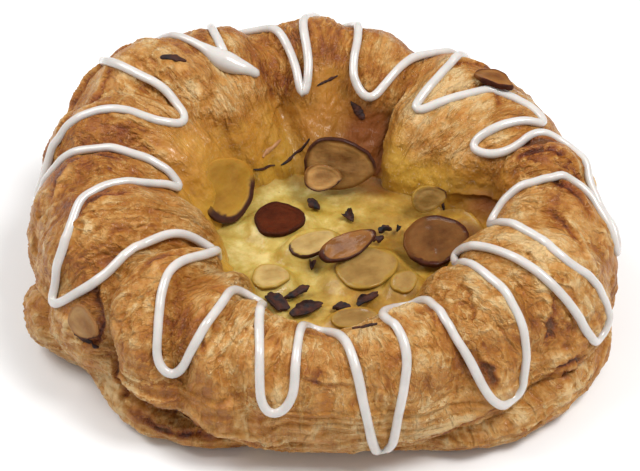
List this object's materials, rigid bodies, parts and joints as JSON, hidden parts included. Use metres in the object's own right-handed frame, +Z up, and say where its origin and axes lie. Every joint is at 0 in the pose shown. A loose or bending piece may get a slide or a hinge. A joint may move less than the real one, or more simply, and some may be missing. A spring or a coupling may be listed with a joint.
{
  "type": "danish pastry",
  "caption": "Ring-shaped flaky pastry with a thick folded rim, a custard well topped with almond slices, and zigzag white icing.",
  "frame": {"origin": "on the table, under the middle of the flat foot", "axes": "+Z up; +X to the right and +Y away from the viewer in the reference view"},
  "size_m": [0.1185, 0.1053, 0.0427],
  "materials": {
    "dough": "baked flaky crust, golden brown, with a thin glossy glaze and white icing",
    "custard": "smooth glossy yellow custard with dark bits of almond skin",
    "almond": "glazed almond slice with a dark brown skin edge"
  },
  "bodies": {
    "root": {"pastry": "dough", "custard": "custard", "almond_slice_back": "almond", "almond_slice_back_small": "almond", "almond_slice_left": "almond", "almond_slice_dark": "almond", "almond_slice_crescent": "almond", "almond_slice_brown": "almond", "almond_slice_pale": "almond", "almond_slice_right": "almond", "almond_slice_sunk": "almond", "almond_slice_front": "almond", "almond_slice_rim": "almond", "almond_slice_upright": "almond", "almond_slice_outer": "almond", "almond_slice_crest": "almond"}
  },
  "joints": []
}
